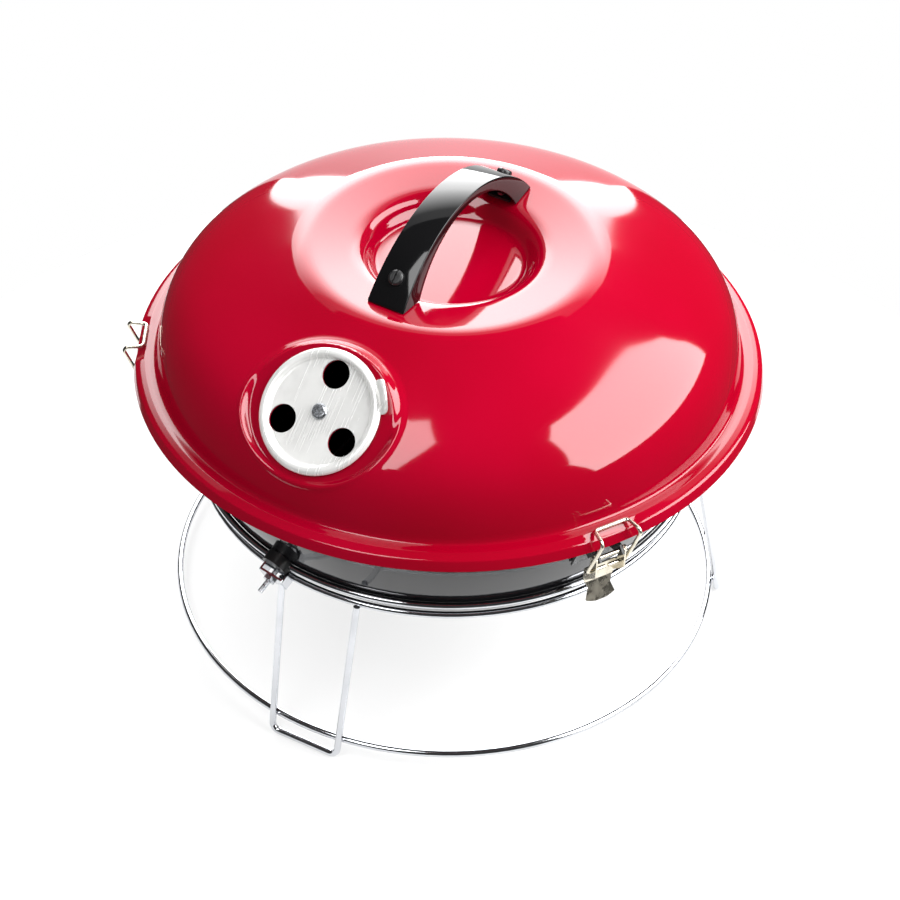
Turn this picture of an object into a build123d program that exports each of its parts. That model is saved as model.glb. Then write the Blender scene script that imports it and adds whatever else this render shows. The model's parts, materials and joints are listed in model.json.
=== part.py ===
from build123d import *
import os
from math import atan2, cos, degrees, radians, sin, sqrt, tan

# Portable kettle charcoal grill: pressed lid and bowl, wire stand, three draw latches.
# Millimetres, +Z up, origin on the ground under the centre of the bowl, -Y is the front.

# Lid and bowl pressings
sheet = 1.0
lid_lip_r, lid_lip_z = 184.4, 175.2
lid_edge_r, lid_edge_z = 182.1, 180.5
lid_seat_r, lid_seat_z = 177.5, 183.0
lid_foot_r, lid_foot_z = 171.2, 182.6
shoulder_r, shoulder_z, shoulder_round = 164.3, 221.7, 47.0
crest_r, crest_z, crest_round = 83.5, 257.0, 25.0
dish_lip_r, dish_lip_z, dish_lip_round = 51.0, 253.5, 12.0
dish_floor_r, dish_floor_z, dish_floor_round = 43.4, 242.0, 5.0
bowl_bottom_z = 68.0
bowl_corner_r, bowl_round = 127.7, 80.0
bowl_rim_r, bowl_rim_z = 173.0, 178.2
rim_bead, rim_bead_r, rim_bead_z = 2.0, 172.5, 179.3

# Vents: a flat seat, a turning damper over it, and a screw through both
vent_tilt = 41.3
vent_seat_r, vent_seat_z, vent_seat_radius = 136.5, 228.6, 42.0
vent_hole, vent_pitch = 16.0, 21.8
damper_radius, damper_rim, damper_step = 35.3, 3.2, 2.6
damper_sheet = 0.8
bowl_damper_radius = 32.0
bowl_vent_hole, bowl_vent_pitch = 14.0, 19.0
vent_screw, vent_screw_head = 4.0, 9.2
running_gap = 0.05
handle_screw, handle_screw_head = 4.0, 9.0
bracket_sheet, bracket_width, bracket_rivet, bracket_gap = 1.5, 14.0, 3.2, 0.6
bracket_foot_y, foot_rivet_y = 60.0, 57.2
rivet = 3.2
face_gap = 0.3

# Handle: an arched channel strap with deeper ends
handle_arc, handle_top_z = 89.7, 291.0
handle_half_span, handle_width, handle_sheet = 71.0, 22.0, 1.2
handle_under_arc, handle_under_z, handle_under_span = 61.5, 285.5, 53.5
handle_screw_angle = 41.2

# Wire stand
wire = 4.0
cradle_r, cradle_z = 149.2, 114.7
top_ring_r, top_ring_z = 148.0, 106.6
ground_ring_r, ground_ring_z = 166.5, 11.0
leg_top_half, leg_foot_half, leg_top_z, leg_bend = 24.5, 22.0, 107.4, 5.0
leg_angles = {"front": -88.0, "rear_right": 32.0, "rear_left": 152.0}
weld_gap = 0.1
clamp_turns = (-11.0, 11.0, 11.0)
clamp_tilt = 24.0
bolt, bolt_nut, bolt_reach, bolt_seat = 3.0, 7.0, 19.0, -4.6
shoe_width, shoe_middle, shoe_foot, shoe_depth = 17.0, 4.0, 3.4, 4.4
plate_width, plate_height, plate_low, plate_rise, plate_sheet = 18.0, 11.4, -2.4, 7.0, 1.3

# Draw latches: a base on the bowl, a lever on the base and a wire bail on the lever
latch_angles = {"right": -30.0, "rear": 90.0, "left": 210.0}
lever_pivot_r, lever_pivot_z = 178.5, 162.5
bail_pivot_r, bail_pivot_z = 177.2, 153.0
bail_bar_r, bail_bar_z = 178.3, 184.3
bail_shoulder_r, bail_shoulder_z = 190.2, 184.3
bail_wire, bail_top_half, bail_low_half = 2.2, 10.5, 12.6
latch_pin, ear_half, cheek_half, lever_sheet = 2.4, 8.0, 9.6, 1.0
lever_cheek = [(175.9, 162.5), (177.9, 165.3), (181.1, 163.7), (181.0, 150.6), (171.5, 141.5), (169.4, 142.4),
               (169.8, 149.0), (174.2, 151.6)]
lever_plate = [(170.8, 149.0), (170.4, 138.0), (174.4, 125.0)]
lever_neck_z, lever_waist, lever_tip, lever_chin_z = 140.0, (7.0, 133.5), (9.2, 127.0), 124.8
base_rivets = (150.0, 160.0)

# Grates
grate_r, grate_z, grate_wire, grate_rod, grate_weld = 161.5, 163.0, 4.0, 2.6, 0.5
grate_pitch = 14.0
coal_r, coal_z, coal_pitch = 124.0, 89.7, 18.0
rest_z, rest_width, rest_reach, rest_sheet = 152.0, 14.0, 13.0, 1.6
rest_angles = (-93.0, 27.0, 147.0)


def write(node, shape):
    solids = shape.solids()
    export_step(solids[0] if len(solids) == 1 else Compound(children=list(solids)), f"parts/{node}.step")


def turned(shape, angle):
    return Rot(0, 0, angle) * shape


def three(shape, angles):
    return Compound(children=[turned(shape, a).solids()[k] for a in angles for k in range(len(shape.solids()))])


def inset(points, distance):
    """Corner points of an outline moved sideways, to the right of its direction."""
    moved = []
    for k in range(len(points)):
        before = points[max(k - 1, 0)]
        here = points[k]
        after = points[min(k + 1, len(points) - 1)]
        headings = [atan2(b[1] - a[1], b[0] - a[0]) for a, b in ((before, here), (here, after)) if a != b]
        middle = sum(headings) / len(headings)
        reach = distance / cos(headings[-1] - middle)
        moved.append((here[0] + reach * sin(middle), here[1] - reach * cos(middle)))
    return moved


def rounded(points, radii, distance=0.0):
    """A line through corner points with a round at each inner corner, or its inset copy."""
    sized = []
    for k, radius in enumerate(radii):
        a, b, c = points[k:k + 3]
        turn = (b[0] - a[0]) * (c[1] - b[1]) - (b[1] - a[1]) * (c[0] - b[0])
        sized.append(radius + distance if turn > 0 else radius - distance)
    return FilletPolyline(*inset(points, distance), radius=sized)


def spun(lines):
    return revolve(Plane.XZ * make_face(lines), Axis.Z)


def pressing(points, radii, depth=sheet):
    """A sheet pressing about Z, from its outer outline and the way its thickness goes."""
    outer = rounded(points, radii)
    inner = rounded(points, radii, depth)
    ends = [Line(outer @ 0, inner @ 0), Line(outer @ 1, inner @ 1)]
    return spun([outer, inner] + ends)


def filled(points, radii, distance, base_z):
    """The solid under an outline, down to a flat base."""
    line = rounded(points, radii, distance)
    start, end = line @ 0, line @ 1
    floor = Polyline((end.X, end.Y), (end.X, base_z), (0, base_z), (0, start.Y))
    return spun([line, floor])


def vent_frame():
    """Plane of the lid's vent seat: Z out of the lid, X to the right, Y up the slope."""
    lean = radians(vent_tilt)
    return Plane(origin=(0, -vent_seat_r, vent_seat_z), x_dir=(1, 0, 0), z_dir=(0, -sin(lean), cos(lean)))


dome_points = [(0, dish_floor_z), (dish_floor_r, dish_floor_z), (dish_lip_r, dish_lip_z), (crest_r, crest_z),
               (shoulder_r, shoulder_z), (lid_foot_r, lid_foot_z), (lid_seat_r, lid_seat_z),
               (lid_edge_r, lid_edge_z), (lid_lip_r, lid_lip_z)]
dome_rounds = [dish_floor_round, dish_lip_round, crest_round, shoulder_round, 2.5, 2.0, 1.6]


def lid_shell():
    shell = pressing(dome_points, dome_rounds)
    outside = filled(dome_points[:6], dome_rounds[:4], 0.0, lid_foot_z - 20)
    inside = filled(dome_points[:6], dome_rounds[:4], sheet, lid_foot_z - 20)
    frame = vent_frame()
    reach = 22.0
    core = frame * extrude(Circle(vent_seat_radius), reach, both=True)
    tube = core - frame * extrude(Circle(vent_seat_radius - sheet), reach, both=True)
    above = frame * Pos(0, 0, reach / 2 - sheet) * Box(200, 200, reach)
    below = frame * Pos(0, 0, -reach / 2) * Box(200, 200, reach)
    plate = frame * Pos(0, 0, -sheet) * extrude(Circle(vent_seat_radius), sheet)
    for k in range(3):
        plate -= frame * Rot(0, 0, 90 + 120 * k) * Pos(vent_pitch, 0, 0) * Cylinder(vent_hole / 2, 4)
    plate -= frame * Cylinder(vent_screw / 2 + running_gap, 4)
    shell = shell - core + plate + (tube & above & outside) + (tube & below - inside)
    for side in (1, -1):
        shell -= turned(rivet_place() * Cylinder(bracket_rivet / 2, 8), 90 - side * 90)
    return shell


def dish_ring(y):
    """Height and slope of the gentle ring round the lid's dish at a distance from its centre."""
    slope = atan2(crest_z - dish_lip_z, crest_r - dish_lip_r)
    return dish_lip_z + (y - dish_lip_r) * tan(slope), degrees(slope)


def rivet_place():
    """Place of a bracket's rivet, for the +Y side: Z up through the lid."""
    z, slope = dish_ring(foot_rivet_y)
    return Pos(0, foot_rivet_y, z) * Rot(slope, 0, 0)


def damper(radius, hole, pitch):
    """A pressed disc with a raised rim, lying on Z = 0 and turning about Z."""
    inner = radius - damper_rim
    line = [(vent_screw / 2 + running_gap, 0), (inner - 0.6, 0), (inner, damper_step), (radius - 0.6, damper_step),
            (radius, 0.4)]
    path = FilletPolyline(*line, radius=[0.4, 0.5, 0.5])
    disc = revolve(Plane.XZ * make_face([path] + [Polyline(
        (radius, 0.4), (radius - damper_sheet, 0.4), (radius - damper_sheet - 0.5, damper_step - damper_sheet),
        (inner + 0.5, damper_step - damper_sheet), (inner - 0.3, -damper_sheet),
        (vent_screw / 2 + running_gap, -damper_sheet), (vent_screw / 2 + running_gap, 0))]), Axis.Z)
    disc = Pos(0, 0, damper_sheet) * disc
    for k in range(3):
        disc -= Rot(0, 0, 90 + 120 * k) * Pos(pitch, 0, 0) * Cylinder(hole / 2, 12)
    tab_profile = Polyline((radius - 1.2, 1.4), (radius + 3.6, 1.4), (radius + 6.0, 7.0), (radius + 5.2, 7.4),
                           (radius + 3.0, 2.3), (radius - 1.2, 2.3), (radius - 1.2, 1.4))
    tab = extrude(Plane.XZ * make_face(tab_profile), 9.0, both=True)
    tab &= Pos(radius - 4, 0, 0) * Cylinder(12, 30)
    return disc + Rot(0, 0, 33.0) * tab


def vent_screw_and_nut(grip):
    """Slotted screw from above and nut from below, for a stack whose top is at Z = 0."""
    head = Pos(0, 0, face_gap) * extrude(Circle(vent_screw_head / 2), 1.6)
    head = fillet(head.faces().sort_by(Axis.Z)[-1].edges(), 1.0)
    head -= Pos(0, 0, 2.0) * Box(vent_screw_head, 1.2, 1.2)
    head -= Pos(0, 0, 2.0) * Box(1.2, vent_screw_head, 1.2)
    shank = Pos(0, 0, -grip - 6) * extrude(Circle(vent_screw / 2), grip + 6 + face_gap)
    nut = Pos(0, 0, -grip - 3.2) * extrude(RegularPolygon(3.5, 6, major_radius=False), 3.0)
    nut -= Pos(0, 0, -grip - 3) * Cylinder(vent_screw / 2, 10)
    return head + shank, nut


def lid_handle():
    """Arched strap along Y with side walls that deepen towards its feet."""
    centre_z = handle_top_z - handle_arc
    foot_z = centre_z + sqrt(handle_arc ** 2 - handle_half_span ** 2)
    under_centre_z = handle_under_z - handle_under_arc
    under_foot_z = under_centre_z + sqrt(handle_under_arc ** 2 - handle_under_span ** 2)
    top = ThreePointArc((-handle_half_span, foot_z), (0, handle_top_z), (handle_half_span, foot_z))
    under = ThreePointArc((-handle_under_span, under_foot_z), (0, handle_under_z), (handle_under_span, under_foot_z))
    feet = [Line(top @ 0, under @ 0), Line(top @ 1, under @ 1)]
    body = extrude(Plane.YZ * make_face([top, under] + feet), handle_width / 2, both=True)
    face = body.faces().sort_by(Axis.Z)[-1]
    body = fillet(face.edges().filter_by(GeomType.CIRCLE), 1.6)
    inner_arc = handle_arc - handle_sheet
    span = handle_half_span + 4
    inner_z = centre_z + sqrt(inner_arc ** 2 - span ** 2)
    roof = ThreePointArc((-span, inner_z), (0, handle_top_z - handle_sheet), (span, inner_z))
    body -= extrude(Plane.YZ * make_face([roof, Line(roof @ 0, roof @ 1)]), handle_width / 2 - handle_sheet, both=True)
    for side in (1, -1):
        body -= screw_frame(side) * Cylinder(handle_screw / 2 + 0.2, 12)
    return body


def screw_frame(side):
    """Frame of a handle screw: Z out of the strap's face."""
    lean = radians(handle_screw_angle) * side
    z = handle_top_z - handle_arc
    return Plane(origin=(0, handle_arc * sin(lean), z + handle_arc * cos(lean)), x_dir=(1, 0, 0),
                 z_dir=(0, sin(lean), cos(lean)))


def handle_bracket():
    """Z bracket inside the channel, for the +Y side: a leaf behind the face and a foot on the lid."""
    lean = radians(handle_screw_angle)
    inside = handle_arc - handle_sheet - bracket_gap
    y0, z0 = inside * sin(lean), handle_top_z - handle_arc + inside * cos(lean)
    up, down = 7.0, 5.5
    heel_y, toe_y = y0 + down * cos(lean), bracket_foot_y - 6.5
    heel = (heel_y, dish_ring(heel_y)[0] + face_gap)
    toe = (toe_y, dish_ring(toe_y)[0] + face_gap)
    outer = [(y0 - up * cos(lean), z0 + up * sin(lean)), (heel[0], z0 - down * sin(lean)), heel, toe]
    inner = inset(outer, bracket_sheet)
    leaf = extrude(Plane.YZ * make_face(Polyline(*outer, *reversed(inner), outer[0])), bracket_width / 2, both=True)
    leaf -= screw_frame(1) * Cylinder(handle_screw / 2 + 0.2, 12)
    return leaf - rivet_place() * Cylinder(bracket_rivet / 2, 10)


def handle_screw_set():
    """Screw, nut and rivet of one bracket, for the +Y side."""
    frame = screw_frame(1)
    head = frame * Pos(0, 0, 0.1) * extrude(Circle(handle_screw_head / 2), 2.4)
    head = fillet(head.faces().sort_by(Axis((0, 0, 0), frame.z_dir))[-1].edges(), 1.6)
    head -= frame * Pos(0, 0, 2.2) * Box(1.0, handle_screw_head, 1.4)
    screw = head + frame * Pos(0, 0, -9.0) * extrude(Circle(handle_screw / 2), 9.1)
    nut_z = -handle_sheet - bracket_gap - bracket_sheet - 0.1
    nut = frame * Pos(0, 0, nut_z - 2.8) * hex_nut(7.0, handle_screw + 0.1, 2.8)
    foot_rivet = rivet_place() * Cylinder(bracket_rivet / 2 - 0.02, 6.0)
    foot_rivet += rivet_place() * Pos(0, 0, bracket_sheet + 1.5) * Cylinder(2.6, 1.2)
    foot_rivet += rivet_place() * Pos(0, 0, -sheet - 0.8) * Cylinder(2.6, 1.2)
    return screw, nut, foot_rivet


def hex_nut(width, bore, height):
    nut = extrude(RegularPolygon(width / 2, 6, major_radius=False), height)
    return nut - Cylinder(bore / 2, 4 * height)


def bowl_wall(z):
    """Radius and lean of the bowl's straight wall at a height."""
    slope = (bowl_rim_r - bowl_corner_r) / (bowl_rim_z - bowl_bottom_z)
    return bowl_corner_r + (z - bowl_bottom_z) * slope, degrees(atan2(slope, 1))


def wall_frame(z):
    """Plane on the bowl's outside at a height: Z out of the wall, Y up the wall."""
    r, lean = bowl_wall(z)
    return Plane(origin=(r, 0, z), x_dir=(0, 1, 0), z_dir=(cos(radians(lean)), 0, -sin(radians(lean))))


bowl_points = [(0, bowl_bottom_z), (bowl_corner_r, bowl_bottom_z), (bowl_rim_r, bowl_rim_z)]


def bowl_shell():
    shell = pressing(bowl_points, [bowl_round], -sheet)
    shell += Pos(0, 0, rim_bead_z) * Torus(rim_bead_r, rim_bead)
    for k in range(3):
        shell -= Rot(0, 0, 90 + 120 * k) * Pos(bowl_vent_pitch, 0, bowl_bottom_z) * Cylinder(bowl_vent_hole / 2, 6)
        shell -= turned(clamp_frame() * Cylinder(bolt / 2 + 0.2, 24), clamp_angle(k))
        shell -= turned(wall_frame(rest_z) * Cylinder(rivet / 2 + 0.02, 8), rest_angles[k])
    for angle in latch_angles.values():
        for z in base_rivets:
            shell -= turned(wall_frame(z) * Cylinder(rivet / 2 + 0.02, 8), angle)
    return shell - Pos(0, 0, bowl_bottom_z) * Cylinder(vent_screw / 2 + running_gap, 6)


def ring(radius, z, diameter):
    return Pos(0, 0, z) * Torus(radius, diameter / 2)


def bent_wire(points, bend, diameter):
    path = FilletPolyline(*points, radius=bend)
    start = Plane(origin=path @ 0, z_dir=path % 0)
    return sweep(start * Circle(diameter / 2), path=path)


def leg(diameter=wire):
    """U wire outside the rings, leaning outwards, with its foot below the ground ring."""
    top_x = sqrt((top_ring_r + wire + weld_gap) ** 2 - leg_top_half ** 2)
    ring_x = sqrt((ground_ring_r + wire + weld_gap) ** 2 - leg_foot_half ** 2)
    lean = (ring_x - top_x) / (ground_ring_z - top_ring_z)
    head_x = top_x + lean * (leg_top_z - top_ring_z)
    foot_x = top_x + lean * (wire / 2 - top_ring_z)
    corners = [(head_x, leg_top_half, leg_top_z), (foot_x, leg_foot_half, wire / 2),
               (foot_x, -leg_foot_half, wire / 2), (head_x, -leg_top_half, leg_top_z)]
    return bent_wire(corners, leg_bend, diameter)


def clamp_angle(k):
    return list(leg_angles.values())[k] + clamp_turns[k]


def clamp_frame():
    """Frame of a clamp bolt between the two rings: Z out of the grill."""
    lean = radians(clamp_tilt)
    return Plane(origin=((cradle_r + top_ring_r) / 2, 0, (cradle_z + top_ring_z) / 2), x_dir=(0, 1, 0),
                 z_dir=(cos(lean), 0, -sin(lean)))


def clamp(turn):
    """Shoe, plate, nut and bolt that pinch both rings to the bowl, beside a leg by an angle."""
    frame = clamp_frame()
    shoe = frame * Pos(0, shoe_middle, -1.0) * extrude(Circle(shoe_width / 2), shoe_depth, both=True)
    shoe &= frame * Pos(0, shoe_foot + shoe_width, 0) * Box(*[2 * shoe_width] * 3)
    shoe = shoe - bowl_solid(0.2) - ring(cradle_r, cradle_z, wire + 0.1)
    roof = frame * Pos(0, plate_low, plate_rise + plate_sheet / 2) * Box(plate_width, plate_height, plate_sheet)
    plate = fillet(roof.edges().filter_by(Axis((0, 0, 0), frame.z_dir)), 2.0)
    wall_height = plate_rise + plate_sheet + 1.0
    for side in (1, -1):
        middle = Pos(side * (plate_width - plate_sheet) / 2, plate_low, plate_rise + plate_sheet - wall_height / 2)
        plate += frame * middle * Box(plate_sheet, plate_height - 3, wall_height)
    for radius, z in ((cradle_r, cradle_z), (top_ring_r, top_ring_z)):
        plate -= ring(radius, z, wire + 0.2)
    plate -= frame * Cylinder(bolt / 2 + 0.2, 40)
    plate -= turned(leg(wire + 0.3), -turn)
    nut = frame * Pos(0, 0, plate_rise + plate_sheet + 0.1) * hex_nut(bolt_nut, bolt + 0.1, 2.6)
    shank = frame * Pos(0, 0, bolt_seat) * extrude(Circle(bolt / 2), bolt_reach - bolt_seat)
    shank += frame * Pos(0, 0, bolt_seat - 1.8) * extrude(Circle(bolt), 1.8)
    return shoe, plate, nut, shank


def bowl_solid(extra):
    """The bowl's outside as one block, grown by a gap, with everything above it."""
    line = rounded(bowl_points, [bowl_round], extra)
    end = line @ 1
    start = line @ 0
    roof = Polyline((end.X, end.Y), (end.X, bowl_rim_z + 30), (0, bowl_rim_z + 30), (0, start.Y))
    return spun([line, roof])


def base():
    """Latch base: a back plate on the bowl's wall and two ears that hold the lever's pin."""
    frame = wall_frame(155.0)
    back = frame * Pos(0, 0, 0.25 + 0.7) * Box(2 * ear_half + 8, 22.0, 1.4)
    for z in base_rivets:
        back -= wall_frame(z) * Cylinder(rivet / 2 + 0.02, 12)
    low_r = bowl_wall(157.0)[0] + 0.9
    high_r = bowl_wall(166.0)[0] + 0.9
    arm = Polyline((low_r, 157.0), (lever_pivot_r - 4, lever_pivot_z - 4), (lever_pivot_r, lever_pivot_z - 4),
                   (lever_pivot_r + 4, lever_pivot_z), (lever_pivot_r, lever_pivot_z + 4), (high_r, 166.5),
                   (low_r, 157.0))
    ear = extrude(Plane.XZ * make_face(arm), 0.7, both=True)
    for side in (1, -1):
        back += Pos(0, side * (ear_half - 0.7), 0) * ear
    back -= pivot_axis() * Cylinder(latch_pin / 2 + 0.02, 60)
    return back - bowl_solid(0.2)


def pivot_axis():
    return Pos(lever_pivot_r, 0, lever_pivot_z) * Rot(90, 0, 0)


def pivot_pin():
    pin = pivot_axis() * Cylinder(latch_pin / 2, 2 * cheek_half + 1.2)
    for side in (1, -1):
        pin += pivot_axis() * Pos(0, 0, side * (cheek_half + 0.8)) * Cylinder(latch_pin / 2 + 0.9, 0.8)
    return pin


def wall_rivet(z, outer, inner):
    """Round-headed rivet through the bowl's wall; its heads start so far out and so far in."""
    frame = wall_frame(z)
    shank = frame * Pos(0, 0, -inner) * extrude(Circle(rivet / 2), outer + inner)
    heads = [frame * Pos(0, 0, outer) * extrude(Circle(rivet), 1.2),
             frame * Pos(0, 0, -inner - 1.2) * extrude(Circle(rivet), 1.2)]
    return shank + heads


def lever():
    """Latch lever: two cheeks on the pin, and a plate that ends in a flared thumb tab."""
    side_wall = extrude(Plane.XZ * make_face(Polyline(*lever_cheek, lever_cheek[0])), lever_sheet / 2, both=True)
    band = make_face(Polyline(*lever_plate, *reversed(inset(lever_plate, lever_sheet)), lever_plate[0]))
    body = extrude(Plane.XZ * band, cheek_half, both=True)
    for side in (1, -1):
        body += Pos(0, side * (cheek_half - lever_sheet / 2), 0) * side_wall
    waist, tip, chin = lever_waist, lever_tip, (0, lever_chin_z)
    top_z = lever_pivot_z + 10
    edge = Polyline((-tip[0], tip[1]), (-waist[0], waist[1]), (-cheek_half, lever_neck_z), (-cheek_half, top_z),
                    (cheek_half, top_z), (cheek_half, lever_neck_z), waist, tip)
    outline = Plane.YZ * make_face([edge, ThreePointArc(tip, chin, (-tip[0], tip[1]))])
    body &= extrude(outline, lever_pivot_r + 20)
    body -= pivot_axis() * Cylinder(latch_pin / 2 + running_gap, 60)
    return body - Pos(bail_pivot_r, 0, bail_pivot_z) * Rot(90, 0, 0) * Cylinder(bail_wire / 2 + running_gap, 60)


def bail():
    """Wire loop: bar on the lid's flange, shoulders past its lip, ends turned in through the lever."""
    half = [(bail_pivot_r, 1.0, bail_pivot_z), (bail_pivot_r, bail_low_half, bail_pivot_z),
            (bail_shoulder_r, (bail_top_half + bail_low_half) / 2 + 0.5, bail_shoulder_z),
            (bail_bar_r, bail_top_half, bail_bar_z)]
    return bent_wire(half + [(r, -y, z) for r, y, z in reversed(half)], 2.4, bail_wire)


def grate(radius, z, pitch):
    """Round wire grate: an edge ring with parallel rods laid across it."""
    rods = []
    count = int((radius - 4) / pitch)
    rod_z = z + (grate_wire + grate_rod) / 2 - grate_weld
    for k in range(-count, count + 1):
        half = sqrt((radius + 0.8) ** 2 - (k * pitch) ** 2)
        rods.append(Pos(k * pitch, 0, rod_z) * Rot(90, 0, 0) * Cylinder(grate_rod / 2, 2 * half))
    return ring(radius, z, grate_wire) + rods


def rest_bracket():
    """Angle bracket riveted inside the bowl that carries the cooking grate."""
    slope = (bowl_rim_r - bowl_corner_r) / (bowl_rim_z - bowl_bottom_z)
    shelf_z = grate_z - grate_wire / 2 - face_gap
    inside = bowl_wall(shelf_z)[0] - 1.5
    line = [(inside - rest_reach, shelf_z), (inside, shelf_z), (inside - (shelf_z - 145.0) * slope, 145.0)]
    bracket = extrude(Plane.XZ * make_face(Polyline(*line, *reversed(inset(line, rest_sheet)), line[0])),
                      rest_width / 2, both=True)
    return bracket - wall_frame(rest_z) * Cylinder(rivet / 2 + 0.02, 12)


parts = {}


def build():
    frame = vent_frame()
    parts["lid_shell"] = lid_shell()
    parts["lid_handle"] = lid_handle()
    bracket = handle_bracket()
    screw, nut, foot_rivet = handle_screw_set()
    for name, piece in (("handle_brackets", bracket), ("handle_screws", screw), ("handle_nuts", nut),
                        ("handle_rivets", foot_rivet)):
        parts[name] = three(piece, (0, 180))
    grip = damper_sheet + face_gap + sheet
    screw, nut = vent_screw_and_nut(grip)
    top = Pos(0, 0, damper_sheet + face_gap)
    parts["lid_damper"] = frame * Pos(0, 0, face_gap) * damper(damper_radius, vent_hole, vent_pitch)
    parts["lid_vent_screw"] = frame * top * screw
    parts["lid_vent_nut"] = frame * top * nut
    under = Pos(0, 0, bowl_bottom_z) * Rot(180, 0, 0)
    parts["bowl_shell"] = bowl_shell()
    parts["bowl_damper"] = under * Pos(0, 0, face_gap) * damper(bowl_damper_radius, bowl_vent_hole, bowl_vent_pitch)
    parts["bowl_vent_screw"] = under * top * screw
    parts["bowl_vent_nut"] = under * top * nut
    parts["cradle_ring"] = ring(cradle_r, cradle_z, wire)
    parts["stand_top_ring"] = ring(top_ring_r, top_ring_z, wire)
    parts["stand_ground_ring"] = ring(ground_ring_r, ground_ring_z, wire)
    one_leg = leg()
    for name, angle in leg_angles.items():
        parts[f"stand_leg_{name}"] = turned(one_leg, angle)
    clamps = [[turned(piece, clamp_angle(k)) for piece in clamp(turn)] for k, turn in enumerate(clamp_turns)]
    for name, pieces in zip(("clamp_shoes", "clamp_plates", "clamp_nuts", "clamp_bolts"), zip(*clamps)):
        parts[name] = Compound(children=[solid for piece in pieces for solid in piece.solids()])
    latch_base, latch_lever, latch_bail = base(), lever(), bail()
    for name, angle in latch_angles.items():
        parts[f"latch_base_{name}"] = turned(latch_base, angle)
        parts[f"latch_lever_{name}"] = turned(latch_lever, angle)
        parts[f"latch_bail_{name}"] = turned(latch_bail, angle)
    parts["latch_pivot_pins"] = three(pivot_pin(), latch_angles.values())
    base_pair = Compound(children=[wall_rivet(z, 1.8, sheet + 0.2) for z in base_rivets])
    parts["latch_base_rivets"] = three(base_pair, latch_angles.values())
    parts["grate_rests"] = three(rest_bracket(), rest_angles)
    parts["grate_rest_rivets"] = three(wall_rivet(rest_z, 0.2, sheet + rest_sheet + 0.5), rest_angles)
    parts["cooking_grate"] = grate(grate_r, grate_z, grate_pitch)
    parts["charcoal_grate"] = grate(coal_r, coal_z, coal_pitch)


os.makedirs("parts", exist_ok=True)
build()
for node, shape in parts.items():
    write(node, shape)
    print(node, len(shape.solids()), round(shape.volume))
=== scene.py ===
import json
from bisect import bisect
from math import asin, cos, exp, radians, sin, tan, tanh

import bpy
from mathutils import Matrix, Vector


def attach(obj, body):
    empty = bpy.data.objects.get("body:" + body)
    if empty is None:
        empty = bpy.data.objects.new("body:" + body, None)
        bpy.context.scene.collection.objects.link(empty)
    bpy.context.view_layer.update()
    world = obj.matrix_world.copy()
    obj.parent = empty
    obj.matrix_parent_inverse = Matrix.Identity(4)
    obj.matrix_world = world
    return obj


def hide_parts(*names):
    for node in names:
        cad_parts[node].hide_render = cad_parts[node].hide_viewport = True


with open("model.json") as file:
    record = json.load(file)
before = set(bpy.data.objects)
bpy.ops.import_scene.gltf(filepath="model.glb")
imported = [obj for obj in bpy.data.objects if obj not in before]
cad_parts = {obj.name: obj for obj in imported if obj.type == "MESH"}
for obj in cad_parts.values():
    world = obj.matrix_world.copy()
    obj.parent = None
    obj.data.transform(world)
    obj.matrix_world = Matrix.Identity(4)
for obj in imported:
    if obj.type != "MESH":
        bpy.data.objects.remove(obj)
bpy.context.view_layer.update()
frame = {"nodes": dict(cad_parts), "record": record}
nodes = frame["nodes"]
record = frame["record"]
scene = bpy.context.scene
scene.view_settings.view_transform = "Standard"

latchAngles = {"right": -30, "rear": 90, "left": 210}
legNames = ["front", "rear_right", "rear_left"]


# Shader maths on sockets, written as plain Python sums
class Value:
    def __init__(self, paint, socket):
        self.paint = paint
        self.socket = socket

    def math(self, operation, other, swapped=False):
        pair = (other, self) if swapped else (self, other)
        return self.paint.node("ShaderNodeMath", {"operation": operation}, {0: pair[0], 1: pair[1]})

    def __add__(self, other):
        return self.math("ADD", other)

    def __sub__(self, other):
        return self.math("SUBTRACT", other)

    def __rsub__(self, other):
        return self.math("SUBTRACT", other, True)

    def __mul__(self, other):
        return self.math("MULTIPLY", other)

    def __truediv__(self, other):
        return self.math("DIVIDE", other)

    def __pow__(self, other):
        return self.math("POWER", other)

    __radd__ = __add__
    __rmul__ = __mul__


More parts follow.
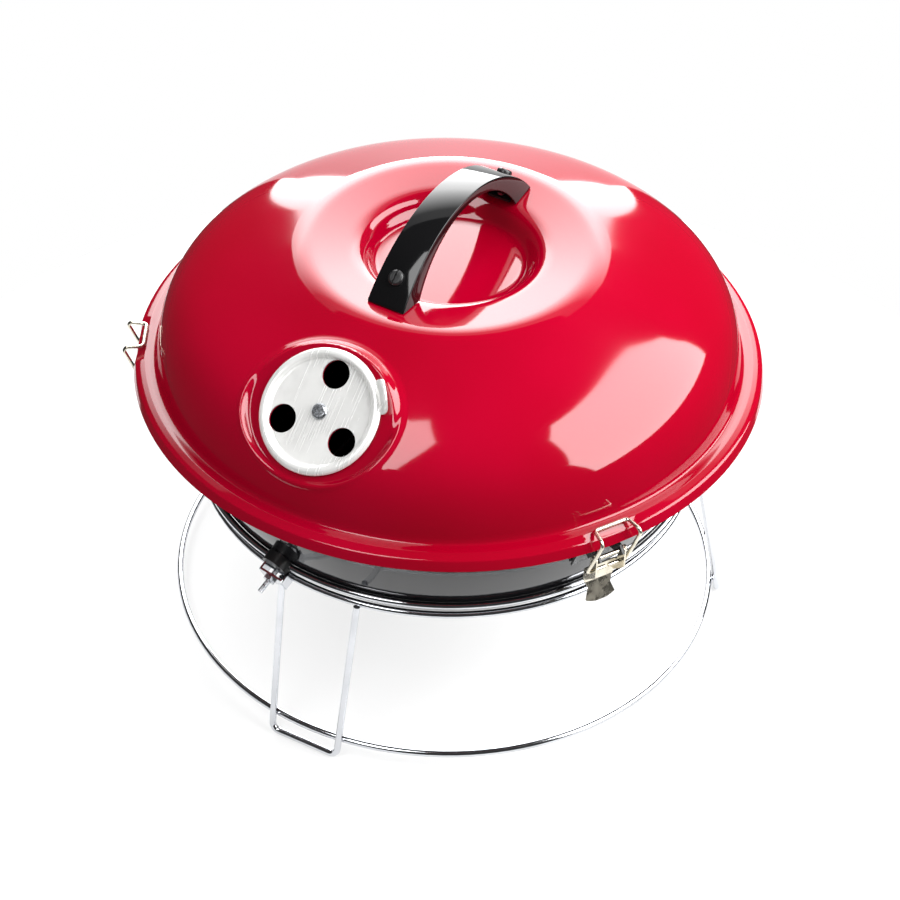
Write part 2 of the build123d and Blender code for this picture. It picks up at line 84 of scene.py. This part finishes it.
# One finish: a Principled shader and the nodes that feed it
class Finish:
    def __init__(self, name, **constants):
        self.material = bpy.data.materials.new(name)
        self.material.use_nodes = True
        self.tree = self.material.node_tree
        self.shader = self.tree.nodes["Principled BSDF"]
        for key, value in constants.items():
            self.shader.inputs[key.replace("_", " ")].default_value = value
        self.place = self.node("ShaderNodeTexCoord", {}, {}, "Object")

    def node(self, kind, settings, inputs, output=0):
        made = self.tree.nodes.new(kind)
        for key, value in settings.items():
            if key == "stops":
                ramp = made.color_ramp.elements
                while len(ramp) < len(value):
                    ramp.new(0.5)
                for stop, (position, colour) in zip(ramp, value):
                    stop.position = position
                    stop.color = (*colour, 1)
            else:
                setattr(made, key, value)
        for key, value in inputs.items():
            if isinstance(value, Value):
                self.tree.links.new(value.socket, made.inputs[key])
            else:
                made.inputs[key].default_value = value
        return Value(self, made.outputs[output])

    def feed(self, socket, value):
        self.tree.links.new(value.socket, self.shader.inputs[socket])

    def noise(self, scale, detail=2.0, roughness=0.5, place=None):
        return self.node("ShaderNodeTexNoise", {}, {"Vector": place or self.place, "Scale": scale, "Detail": detail,
                                                    "Roughness": roughness})

    def ramp(self, factor, low, high, bottom=0.0, top=1.0):
        return self.node("ShaderNodeMapRange", {"interpolation_type": "SMOOTHSTEP"},
                         {0: factor, 1: low, 2: high, 3: bottom, 4: top})

    def mix(self, factor, first, second):
        return self.node("ShaderNodeMix", {"data_type": "RGBA"}, {0: factor, 6: first, 7: second}, 2)

    def stretched(self, scale):
        return self.node("ShaderNodeMapping", {}, {"Vector": self.place, "Scale": scale})

    def along(self, direction):
        place = self.node("ShaderNodeNewGeometry", {}, {})
        return self.node("ShaderNodeVectorMath", {"operation": "DOT_PRODUCT"}, {0: place, 1: direction}, 1)

    def bump(self, height, strength, distance=0.0002):
        self.feed("Normal", self.node("ShaderNodeBump", {}, {"Height": height, "Strength": strength,
                                                             "Distance": distance}))


def colour(red, green, blue):
    linear = [c / 12.92 if c <= 0.04045 else ((c + 0.055) / 1.055) ** 2.4 for c in (red / 255, green / 255, blue / 255)]
    return (*linear, 1.0)


enamelLook = {"deep": colour(137, 0, 24), "bright": colour(145, 0, 30), "roughness": 0.28, "coatRoughness": 0.06,
              "peel": 260.0, "peelStrength": 0.04}


def redEnamel():
    look = enamelLook
    paint = Finish("redEnamel", Specular_IOR_Level=0.0, Coat_Weight=1.0, Coat_Roughness=look["coatRoughness"], Coat_IOR=1.52)
    cloud = paint.noise(9.0, 2.0)
    paint.feed("Base Color", paint.mix(paint.ramp(cloud, 0.35, 0.7), look["deep"], look["bright"]))
    paint.feed("Roughness", paint.ramp(paint.noise(38.0, 3.0), 0.3, 0.7, look["roughness"] - 0.04,
                                       look["roughness"] + 0.05))
    paint.bump(paint.noise(look["peel"], 1.0), look["peelStrength"], 0.0004)
    return paint.material


def blackGloss(name, shade, roughness, peel):
    paint = Finish(name, Specular_IOR_Level=0.0, Coat_Weight=1.0, Coat_Roughness=0.06, Coat_IOR=1.45)
    paint.feed("Base Color", paint.mix(paint.noise(24.0, 3.0), colour(*shade), colour(*[c + 9 for c in shade])))
    paint.feed("Roughness", paint.ramp(paint.noise(60.0, 3.0), 0.3, 0.7, roughness - 0.05, roughness + 0.08))
    paint.bump(paint.noise(peel, 1.0), 0.02, 0.0003)
    return paint.material


def plating(name, tint, roughness, streak, blotch=30.0, metal=1.0):
    paint = Finish(name, Metallic=metal)
    drawn = paint.noise(1.0, 3.0, 0.6, paint.stretched(streak))
    cloud = paint.noise(blotch, 3.0)
    dark = [c - 22 for c in tint]
    paint.feed("Base Color", paint.mix(paint.ramp(cloud, 0.3, 0.75), colour(*tint), colour(*dark)))
    paint.feed("Roughness", paint.ramp(drawn * 0.6 + cloud * 0.4, 0.3, 0.7, roughness * 0.6, roughness * 1.5))
    paint.bump(drawn, 0.04, 0.0001)
    return paint.material


def dullBlack(name, shade, roughness, grain):
    paint = Finish(name)
    paint.feed("Base Color", paint.mix(paint.noise(grain / 6, 3.0), colour(*shade), colour(*[c + 16 for c in shade])))
    paint.feed("Roughness", paint.ramp(paint.noise(grain / 3, 2.0), 0.3, 0.7, roughness - 0.08, roughness + 0.1))
    paint.bump(paint.noise(grain, 3.0), 0.25, 0.0002)
    return paint.material


finishes = {
    "red_enamel": redEnamel(),
    "black_enamel": blackGloss("blackEnamel", (14, 14, 16), 0.25, 300.0),
    "handle_black": blackGloss("handleBlack", (8, 8, 9), 0.15, 240.0),
    "bracket_steel": dullBlack("paintedBracket", (22, 22, 23), 0.45, 700.0),
    "dark_screw": dullBlack("blackenedScrew", (20, 20, 21), 0.32, 900.0),
    "base_black": dullBlack("latchBaseBlack", (18, 18, 19), 0.3, 800.0),
    "black_rubber": dullBlack("clampShoeBlack", (14, 14, 14), 0.35, 600.0),
    "zinc_steel": plating("zincPlate", (196, 199, 204), 0.28, (400.0, 400.0, 400.0), 120.0),
    "polished_steel": plating("ventSteel", (240, 240, 238), 0.22, (900.0, 14.0, 14.0), 60.0, 0.35),
    "chrome_wire": plating("chromeWire", (216, 218, 222), 0.09, (60.0, 60.0, 900.0)),
    "chrome_sheet": plating("clampChrome", (214, 216, 220), 0.14, (300.0, 300.0, 60.0)),
    "nickel": plating("latchNickel", (228, 221, 204), 0.26, (240.0, 240.0, 240.0), 80.0),
    "grate_plating": plating("gratePlating", (196, 198, 200), 0.25, (900.0, 30.0, 900.0)),
    "grate_steel": plating("coalGrateSteel", (120, 118, 116), 0.42, (900.0, 30.0, 900.0)),
}
for part in record["subparts"]:
    mesh = nodes[part["node"]].data
    mesh.materials.clear()
    mesh.materials.append(finishes[part["material_slot"]])
print("finishes made:", len(finishes))

# Modelling helpers
def deselect():
    if bpy.context.object and bpy.context.object.mode == "EDIT":
        bpy.ops.object.mode_set(mode="OBJECT")
    bpy.ops.object.select_all(action="DESELECT")


def roundedLine(corners, rounds, step):
    # points along a line with a true arc at each inner corner, about a step apart
    line = [Vector(c) for c in corners]
    path = [line[0]]
    for k, radius in enumerate(rounds):
        before, here, after = line[k], line[k + 1], line[k + 2]
        inward, onward = (before - here).normalized(), (after - here).normalized()
        half = inward.angle(onward) / 2
        reach = radius / tan(half)
        centre = here + (inward + onward).normalized() * radius / sin(half)
        start, end = here + inward * reach - centre, here + onward * reach - centre
        sweep = start.angle(end)
        count = max(3, round(radius * sweep / step))
        for i in range(count + 1):
            share = i / count
            path.append(centre + (start * sin(sweep * (1 - share)) + end * sin(sweep * share)) / sin(sweep))
    path.append(line[-1])
    dense = [path[0]]
    for here, after in zip(path, path[1:]):
        count = max(1, round((after - here).length / step))
        dense += [here.lerp(after, (i + 1) / count) for i in range(count)]
    return dense


def lathe(name, outline, steps):
    # a ring of edges drawn along an outline of (radius, height) to its end, closed where it meets the axis
    deselect()
    bpy.ops.mesh.primitive_circle_add(vertices=steps, radius=outline[0][0], location=(0, 0, outline[0][1]))
    piece = bpy.context.object
    piece.name = name
    bpy.ops.object.transform_apply(location=True)
    bpy.ops.object.mode_set(mode="EDIT")
    bpy.ops.mesh.select_all(action="SELECT")
    for here, after in zip(outline, outline[1:]):
        share = max(after[0], 1e-6) / here[0]
        bpy.ops.mesh.extrude_edges_move(TRANSFORM_OT_translate={"value": (0, 0, after[1] - here[1])})
        bpy.ops.transform.resize(value=(share, share, 1), center_override=(0, 0, after[1]))
    bpy.ops.mesh.select_all(action="SELECT")
    bpy.ops.mesh.remove_doubles(threshold=0.00002)
    bpy.ops.mesh.normals_make_consistent(inside=False)
    bpy.ops.object.mode_set(mode="OBJECT")
    return piece


def applyModifier(piece, kind, **settings):
    deselect()
    bpy.context.view_layer.objects.active = piece
    piece.select_set(True)
    modifier = piece.modifiers.new(kind.lower(), kind)
    for key, value in settings.items():
        setattr(modifier, key, value)
    bpy.ops.object.modifier_apply(modifier=modifier.name)


def cut(piece, cutters):
    for cutter in cutters:
        applyModifier(piece, "BOOLEAN", operation="DIFFERENCE", object=cutter, solver="MANIFOLD")
        bpy.data.objects.remove(cutter)


def smooth(piece, degrees):
    deselect()
    bpy.context.view_layer.objects.active = piece
    piece.select_set(True)
    bpy.ops.object.shade_smooth_by_angle(angle=radians(degrees))


def dress(piece, slot, body, *replaced):
    piece.data.materials.clear()
    piece.data.materials.append(finishes[slot])
    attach(piece, body)
    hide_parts(*replaced)


def easeBetween(value, low, high):
    share = min(max((value - low) / (high - low), 0.0), 1.0)
    return share * share * (3 - 2 * share)


# Lid: dish, dome and flange, with a flat seat pressed for the vent and shallow crimps for the latches
lidLook = {"flange": [(0.1844, 0.1752), (0.1828, 0.1813), (0.1775, 0.1829), (0.1714, 0.1827)],
           "dish": [(0.0510, 0.2535), (0.0434, 0.2420), (0.0001, 0.2420)], "crest": (0.0835, 0.2568),
           "rounds": [0.0012, 0.0018, 0.0016, 0.02, 0.013, 0.006], "step": 0.0026, "around": 280,
           "domeLean": 0.404, "domeTurn": 1.051, "turnMiddle": 0.711, "turnWidth": 0.154, "domeLength": 0.123,
           "domeSteps": 45,
           "sheet": 0.001, "ventPlace": Vector((0, -0.1365, 0.2286)), "ventTilt": radians(41.3), "fineReach": 0.052,
           "padAcross": 0.0440, "padAlong": 0.0388, "padFlat": 0.955, "padEdge": 1.06, "beadWidth": 0.036,
           "beadHeight": 0.0007, "hole": 0.008, "holePitch": 0.0218, "screwHole": 0.00205,
           "crimpHalf": 0.0135, "crimpEase": 0.003, "crimpDepth": 0.0009, "crimpInner": 0.1765}
ventOut = Vector((0, -sin(lidLook["ventTilt"]), cos(lidLook["ventTilt"])))
ventUp = Vector((0, cos(lidLook["ventTilt"]), sin(lidLook["ventTilt"])))


def pressVentSeat(point):
    away = point - lidLook["ventPlace"]
    height = away.dot(ventOut)
    reach = Vector((away.x / lidLook["padAcross"], away.dot(ventUp) / lidLook["padAlong"])).length
    if reach > 2 * lidLook["padEdge"] or abs(height) > 0.03:
        return point
    bead = lidLook["beadHeight"] * exp(-((reach - lidLook["padEdge"]) / lidLook["beadWidth"]) ** 2)
    return point + ventOut * (height * (easeBetween(reach, lidLook["padFlat"], lidLook["padEdge"]) - 1) + bead)


def crimpFlange(point):
    radius = point.xy.length
    if radius < lidLook["crimpInner"]:
        return point
    depth = 0.0
    for angle in latchAngles.values():
        across = abs(Vector((cos(radians(angle)), sin(radians(angle)))).cross(point.xy)) \
            if Vector((cos(radians(angle)), sin(radians(angle)))).dot(point.xy) > 0 else 1.0
        depth += 1 - easeBetween(across, lidLook["crimpHalf"], lidLook["crimpHalf"] + lidLook["crimpEase"])
    inner = easeBetween(radius, lidLook["crimpInner"], lidLook["crimpInner"] + 0.004)
    moved = point - Vector((*point.xy.normalized(), 1.0)) * depth * inner * lidLook["crimpDepth"]
    return moved


def domeCurve():
    # from the crest outwards: nearly a cone at first, then turning down over the shoulder to the flange
    point, stride = Vector(lidLook["crest"]), lidLook["domeLength"] / lidLook["domeSteps"]
    curve = []
    for k in range(lidLook["domeSteps"]):
        along = ((k + 0.5) / lidLook["domeSteps"] - lidLook["turnMiddle"]) / lidLook["turnWidth"]
        lean = lidLook["domeLean"] + lidLook["domeTurn"] * (1 + tanh(along)) / 2
        point = point + Vector((cos(lean), -sin(lean))) * stride
        curve.append(point)
    return curve


def refineNearVent(lid, outline):
    # finer faces round the vent, laid back on the lid's own curve
    bpy.ops.object.mode_set(mode="EDIT")
    bpy.ops.mesh.select_mode(type="FACE")
    bpy.ops.mesh.select_all(action="DESELECT")
    bpy.ops.object.mode_set(mode="OBJECT")
    for face in lid.data.polygons:
        face.select = (face.center - lidLook["ventPlace"]).length < lidLook["fineReach"]
    bpy.ops.object.mode_set(mode="EDIT")
    bpy.ops.mesh.subdivide(number_cuts=3)
    bpy.ops.object.mode_set(mode="OBJECT")
    ordered = sorted((point[0], point[1]) for point in outline if 0.09 < point[0] < 0.168)
    for vertex in lid.data.vertices:
        if (vertex.co - lidLook["ventPlace"]).length > lidLook["fineReach"] + 0.004:
            continue
        radius = vertex.co.xy.length
        k = bisect(ordered, (radius, 0.0))
        if k < 2 or k > len(ordered) - 2:
            continue
        vertex.co.z = throughFour(ordered[k - 2:k + 2], radius)


def throughFour(points, place):
    # height of the cubic through four points
    total = 0.0
    for i, (here, height) in enumerate(points):
        weight = 1.0
        for j, (other, _) in enumerate(points):
            if i != j:
                weight *= (place - other) / (here - other)
        total += weight * height
    return total


def makeLid():
    dome = domeCurve()[::-1]
    rounds = lidLook["rounds"]
    foot = roundedLine(lidLook["flange"] + dome[1:2], rounds[:3], lidLook["step"])
    top = roundedLine([dome[-4], lidLook["crest"]] + lidLook["dish"], rounds[3:], lidLook["step"])
    outline = foot + dome[2:-4] + top
    lid = lathe("enamelLid", outline, lidLook["around"])
    refineNearVent(lid, outline)
    for vertex in lid.data.vertices:
        vertex.co = crimpFlange(pressVentSeat(vertex.co))
    applyModifier(lid, "SOLIDIFY", thickness=lidLook["sheet"], offset=-1, use_even_offset=True)
    turn = ventOut.to_track_quat("Z", "Y").to_matrix().to_4x4()
    cutters = []
    for k in range(4):
        deselect()
        bpy.ops.mesh.primitive_cylinder_add(vertices=64, radius=lidLook["hole"] if k else lidLook["screwHole"],
                                            depth=0.03)
        cutter = bpy.context.object
        lean = radians(90 + 120 * k)
        offset = (Vector((1, 0, 0)) * cos(lean) + ventUp * sin(lean)) * lidLook["holePitch"] if k else Vector()
        cutter.matrix_world = Matrix.Translation(lidLook["ventPlace"] + offset) @ turn
        bpy.ops.object.transform_apply(location=True, rotation=True)
        cutters.append(cutter)
    cut(lid, cutters)
    smooth(lid, 35)
    dress(lid, "red_enamel", "lid", "lid_shell")
    print("lid made:", len(lid.data.polygons), "faces")


makeLid()

# Lid damper: a flat disc with a rolled rim, three holes and a leaning thumb tab, under a domed screw
damperLook = {"outline": [(0.00205, 0.0011), (0.0297, 0.0011), (0.0304, 0.0031), (0.0318, 0.0037), (0.0334, 0.0036),
                          (0.0347, 0.0028), (0.0353, 0.0015)],
              "rounds": [0.0012, 0.0012, 0.0014, 0.0018, 0.0014], "step": 0.0006, "around": 160, "sheet": 0.0008,
              "screwOutline": [(0.0046, 0.0014), (0.0046, 0.0020), (0.0036, 0.0030), (0.0001, 0.0030)],
              "screwRounds": [0.0006, 0.0009], "slot": 0.0013, "slotDepth": 0.0008,
              "tab": [(0.0345, 0.0019), (0.0376, 0.0022), (0.0392, 0.0042), (0.0402, 0.0078)],
              "tabWidths": [0.0190, 0.0196, 0.0180, 0.0092], "tabTurn": radians(33)}


def toVent(piece):
    turn = ventOut.to_track_quat("Z", "Y").to_matrix().to_4x4()
    piece.matrix_world = Matrix.Translation(lidLook["ventPlace"]) @ turn
    deselect()
    bpy.context.view_layer.objects.active = piece
    piece.select_set(True)
    bpy.ops.object.transform_apply(location=True, rotation=True)


def makeDamper():
    look = damperLook
    outline = roundedLine([(r, z) for r, z in look["outline"]], look["rounds"], look["step"])
    damper = lathe("rolledDamper", outline, look["around"])
    up = sum(face.normal.z for face in damper.data.polygons)
    applyModifier(damper, "SOLIDIFY", thickness=look["sheet"], offset=-1 if up > 0 else 1, use_even_offset=True)
    cutters = []
    for k in range(3):
        lean = radians(90 + 120 * k)
        deselect()
        bpy.ops.mesh.primitive_cylinder_add(vertices=72, radius=lidLook["hole"], depth=0.02,
                                            location=(cos(lean) * lidLook["holePitch"],
                                                      sin(lean) * lidLook["holePitch"], 0))
        cutters.append(bpy.context.object)
        bpy.ops.object.transform_apply(location=True)
    cut(damper, cutters)
    deselect()
    bpy.ops.mesh.primitive_grid_add(x_subdivisions=3, y_subdivisions=10, size=1)
    tab = bpy.context.object
    for vertex in tab.data.vertices:
        k = round((vertex.co.x + 0.5) * 3)
        radius, height = look["tab"][k]
        across = look["tabWidths"][k] * vertex.co.y
        flat = Vector(((radius ** 2 - across ** 2) ** 0.5, across)) if k < 2 else Vector((radius - 6 * across ** 2, across))
        flat.rotate(Matrix.Rotation(look["tabTurn"], 2))
        vertex.co = Vector((*flat, height))
    applyModifier(tab, "SUBSURF", levels=2)
    applyModifier(tab, "SOLIDIFY", thickness=look["sheet"], offset=-1)
    deselect()
    tab.select_set(True)
    damper.select_set(True)
    bpy.context.view_layer.objects.active = damper
    bpy.ops.object.join()
    toVent(damper)
    smooth(damper, 35)
    dress(damper, "polished_steel", "lid_damper", "lid_damper")
    print("damper made:", len(damper.data.polygons), "faces")


def makeVentScrew():
    look = damperLook
    screw = lathe("ventScrew", roundedLine(look["screwOutline"], look["screwRounds"], 0.0003), 64)
    deselect()
    bpy.context.view_layer.objects.active = screw
    screw.select_set(True)
    bpy.ops.object.mode_set(mode="EDIT")
    bpy.ops.mesh.select_mode(type="EDGE")
    bpy.ops.mesh.select_all(action="DESELECT")
    bpy.ops.mesh.select_non_manifold()
    bpy.ops.mesh.edge_face_add()
    bpy.ops.mesh.select_all(action="SELECT")
    bpy.ops.mesh.normals_make_consistent(inside=False)
    bpy.ops.object.mode_set(mode="OBJECT")
    slots = []
    for k in range(2):
        deselect()
        bpy.ops.mesh.primitive_cube_add(size=1, location=(0, 0, 0.0030))
        slot = bpy.context.object
        slot.scale = (look["slot"], 0.0070, 2 * look["slotDepth"])
        slot.rotation_euler.z = radians(8 + 90 * k)
        bpy.ops.object.transform_apply(location=True, rotation=True, scale=True)
        slots.append(slot)
    cut(screw, slots)
    toVent(screw)
    smooth(screw, 35)
    dress(screw, "zinc_steel", "lid", "lid_vent_screw")


makeDamper()
makeVentScrew()

# Handle: an arched channel whose walls deepen towards its feet
handleLook = {"radius": 0.0897, "top": 0.291, "halfSpan": 0.071, "underRadius": 0.0615, "underTop": 0.2855,
              "underHalfSpan": 0.0535, "width": 0.0204, "footWidth": 0.0236, "sheet": 0.0013, "stations": 72,
              "round": 0.0016}


def makeHandle():
    look = handleLook
    deselect()
    bpy.ops.mesh.primitive_grid_add(x_subdivisions=3, y_subdivisions=look["stations"], size=2)
    handle = bpy.context.object
    handle.name = "archedHandle"
    sweep = asin(look["halfSpan"] / look["radius"])
    underSweep = asin(look["underHalfSpan"] / look["underRadius"])
    for vertex in handle.data.vertices:
        along, across = vertex.co.y, vertex.co.x
        half = (look["width"] + (look["footWidth"] - look["width"]) * along * along) / 2
        if abs(across) > 0.9:
            lean, radius, top = underSweep * along, look["underRadius"], look["underTop"]
        else:
            lean, radius, top = sweep * along, look["radius"], look["top"]
        side = 1 if across > 0 else -1
        vertex.co = Vector((side * half, radius * sin(lean), top - radius + radius * cos(lean)))
    deselect()
    bpy.context.view_layer.objects.active = handle
    handle.select_set(True)
    bpy.ops.object.mode_set(mode="EDIT")
    bpy.ops.mesh.select_all(action="SELECT")
    bpy.ops.mesh.normals_make_consistent(inside=False)
    bpy.ops.object.mode_set(mode="OBJECT")
    up = sum(face.normal.z * face.area for face in handle.data.polygons if abs(face.normal.x) < 0.5)
    if up < 0:
        bpy.ops.object.mode_set(mode="EDIT")
        bpy.ops.mesh.flip_normals()
        bpy.ops.object.mode_set(mode="OBJECT")
    applyModifier(handle, "SOLIDIFY", thickness=look["sheet"], offset=-1, use_even_offset=True)
    applyModifier(handle, "BEVEL", width=look["round"] * 0.35, segments=3, limit_method="ANGLE",
                  angle_limit=radians(40))
    smooth(handle, 35)
    dress(handle, "handle_black", "lid", "lid_handle")
    print("handle made:", len(handle.data.polygons), "faces")


makeHandle()

# Camera, floor and studio lights
stage = {"floorGlow": 0.6, "cameraPlace": (0.55916, -0.96506, 1.07625), "right": (0.85876, 0.51213, 0.01615),
         "up": (-0.34783, 0.55953, 0.75229), "back": (0.37623, -0.65165, 0.65864), "lens": 97.5, "floorSize": 0.42, "panelHalf": 1.4, "floorShade": 0.32,
         "worldStrength": 0.05, "ambient": 0.55}


def placeCamera():
    data = bpy.data.cameras.new("camera")
    data.lens, data.sensor_width = stage["lens"], 36.0
    data.clip_start = 0.05
    camera = bpy.data.objects.new("camera", data)
    scene.collection.objects.link(camera)
    columns = Matrix((stage["right"], stage["up"], stage["back"])).transposed()
    camera.matrix_world = Matrix.Translation(stage["cameraPlace"]) @ columns.to_4x4()
    scene.camera = camera


def emitter(name, corners, strength, fade=None, edgeLoss=0.0):
    # a glowing sheet, which may grow brighter ahead and dimmer towards its sides
    mesh = bpy.data.meshes.new(name)
    mesh.from_pydata([Vector(c) for c in corners], [], [tuple(range(len(corners)))])
    panel = bpy.data.objects.new(name, mesh)
    scene.collection.objects.link(panel)
    light = Finish(name, Base_Color=(0.0, 0.0, 0.0, 1.0), Emission_Color=(1.0, 1.0, 1.0, 1.0),
                   Emission_Strength=strength, Specular_IOR_Level=0.0, Roughness=1.0)
    if fade:
        near, far, share = fade
        ahead = light.along(forward)
        aside = light.along(side) * (1 / stage["panelHalf"])
        grown = light.node("ShaderNodeMapRange", {}, {0: ahead, 1: near, 2: far, 3: share, 4: 1.0})
        light.feed("Emission Color", grown * (1 - aside * aside * edgeLoss))
    mesh.materials.append(light.material)
    panel.visible_camera = False


# The studio is laid out as seen from the camera: ahead, to the right and up
forward, side = Vector((-0.5, 0.866, 0)), Vector((0.866, 0.5, 0))


def studio(ahead, right, up):
    return forward * ahead + side * right + Vector((0, 0, up))


placeCamera()
bpy.ops.mesh.primitive_circle_add(vertices=128, radius=stage["floorSize"], fill_type="NGON", location=(0, 0, 0))
floor = bpy.context.object
floor.name = "floor"
floorPaint = Finish("floorPaper", Base_Color=(*[stage["floorShade"]] * 3, 1.0), Roughness=0.9,
                    Specular_IOR_Level=0.1, Emission_Color=(1.0, 1.0, 1.0, 1.0),
                    Emission_Strength=stage["floorGlow"])
floor.data.materials.append(floorPaint.material)

overheadLook = {"tilt": radians(30), "height": 2.2, "strength": 10.3, "fade": (1.1, 1.9, 0.08), "edgeLoss": 0.55,
                "edge": [(0.85, 0.9), (0.78, 1.13), (1.05, 1.27), (1.5, 1.38), (2.3, 1.39), (3.1, 1.28), (5.9, 1.36)]}
sweepLook = {"corners": [(0.45, 0.2, 0.003), (0.45, -0.2, 0.003), (5.4, -1.36, 0.003), (5.4, 1.36, 0.003)],
             "strength": 1.0}
sidePanels = {
    "rightPanel": ([(0.8, 1.2, 1.69), (1.07, 1.35, 1.5), (1.1, 1.5, 1.32), (1.0, 1.86, 0.88), (-1.6, 2.1, 0.6),
                    (-1.35, 1.45, 1.38), (-0.4, 0.86, 2.09), (-0.1, 0.8, 2.17)], 9.5),
    "leftPanel": ([(-0.12, -0.15, 2.52), (-0.45, -0.1, 2.4), (-1.45, -0.55, 1.72), (-1.5, -0.95, 1.45),
                   (-0.5, -0.95, 1.95), (-0.12, -0.6, 2.3)], 7.0)}


def overhead(ahead, right):
    return studio(ahead, right, (overheadLook["height"] - sin(overheadLook["tilt"]) * ahead) / cos(overheadLook["tilt"]))


rightEdge = overheadLook["edge"]
outline = rightEdge + [(ahead, -right) for ahead, right in reversed(rightEdge)]
emitter("overheadPanel", [overhead(*corner) for corner in outline], overheadLook["strength"], overheadLook["fade"],
        overheadLook["edgeLoss"])
emitter("backSweep", [studio(*corner) for corner in sweepLook["corners"]], sweepLook["strength"])
for panelName, (corners, strength) in sidePanels.items():
    emitter(panelName, [studio(*corner) for corner in corners], strength)

world = bpy.data.worlds.new("studio")
scene.world = world
world.use_nodes = True
worldNodes = world.node_tree.nodes
seen = worldNodes.new("ShaderNodeLightPath")
sky = worldNodes.new("ShaderNodeMapRange")
sky.inputs["To Min"].default_value = stage["worldStrength"]
lit = worldNodes.new("ShaderNodeMath")
lit.operation = "MULTIPLY_ADD"
lit.inputs[1].default_value = stage["ambient"]
world.node_tree.links.new(seen.outputs["Is Diffuse Ray"], lit.inputs[0])
world.node_tree.links.new(seen.outputs["Is Camera Ray"], lit.inputs[2])
world.node_tree.links.new(lit.outputs[0], sky.inputs["Value"])
world.node_tree.links.new(sky.outputs[0], worldNodes["Background"].inputs["Strength"])
worldNodes["Background"].inputs["Color"].default_value = (1.0, 1.0, 1.0, 1)
print("stage set")
